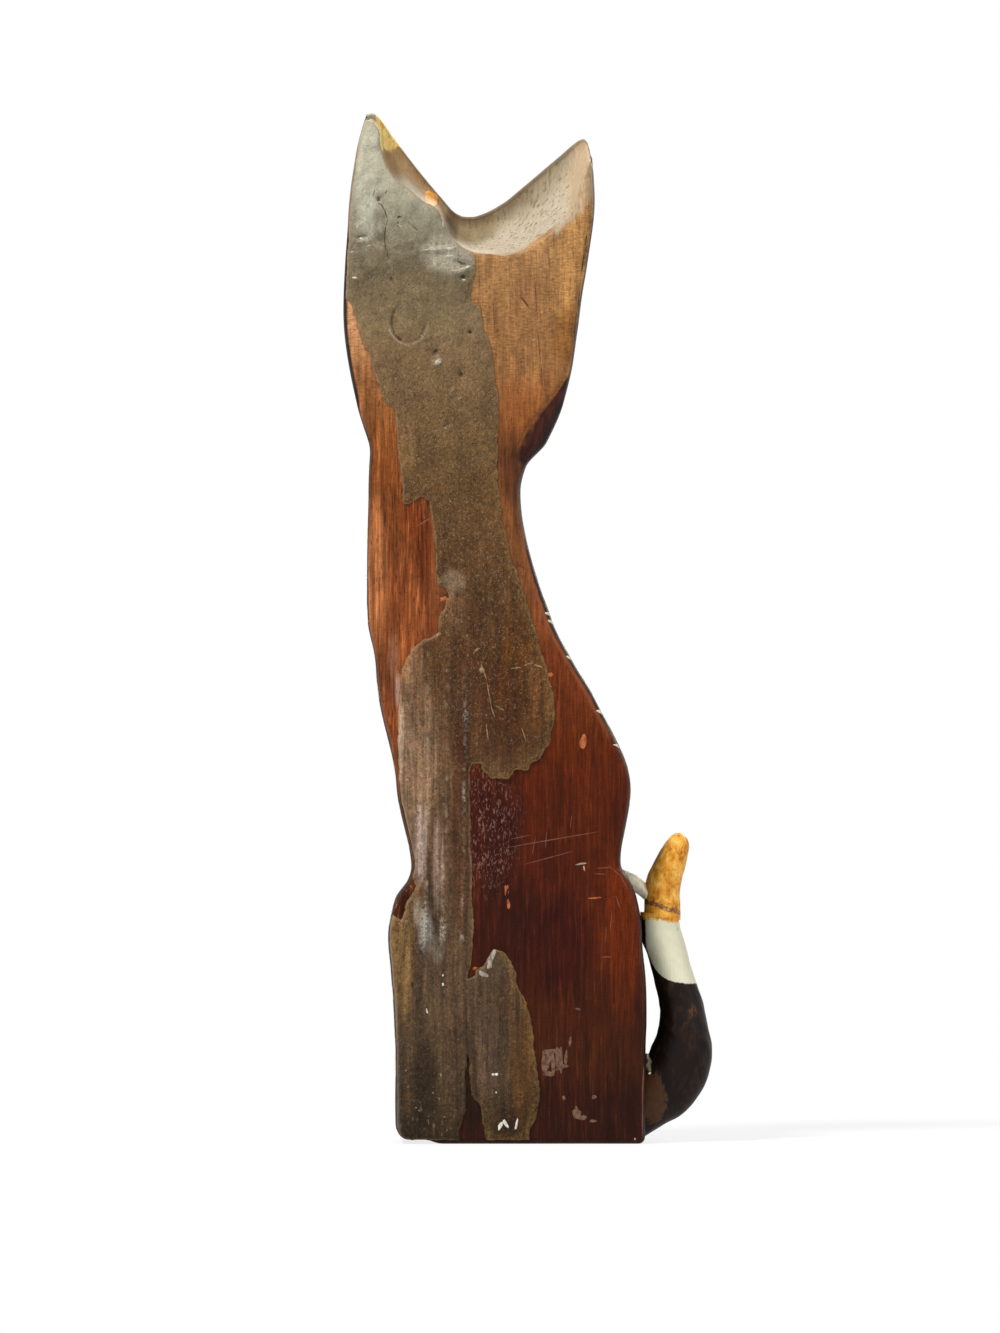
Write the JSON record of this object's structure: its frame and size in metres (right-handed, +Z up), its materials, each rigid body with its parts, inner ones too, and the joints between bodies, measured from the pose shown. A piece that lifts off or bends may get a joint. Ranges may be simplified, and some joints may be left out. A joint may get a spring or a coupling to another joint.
{
  "type": "carved wooden cat figurine",
  "caption": "Standing ornament: a seated cat carved from a flat-backed wooden block, with a leaning neck, pricked ears and a curved tail pegged and glued to its flank.",
  "frame": {"origin": "middle of the flat underside", "axes": "+Z up along the cat's height, +Y out of its flat back, +X to the cat's left"},
  "size_m": [0.1065, 0.0532, 0.2999],
  "materials": {
    "carved_wood": "varnished on the back, painted on the front and sides",
    "black_paint": "painted black with a cream band",
    "gold_paint": "painted golden, mottled",
    "raw_wood": "bare",
    "dried_glue": "dried, slightly glossy",
    "bark": "dull and fibrous"
  },
  "bodies": {
    "root": {"body": "carved_wood", "tail": "black_paint", "tail_tip": "gold_paint", "foot_dowel": "raw_wood", "tip_pin": "raw_wood", "upper_glue_bead": "dried_glue", "foot_glue_fillet": "dried_glue", "bark_skin_main": "bark", "bark_skin_lower": "bark"}
  },
  "joints": []
}
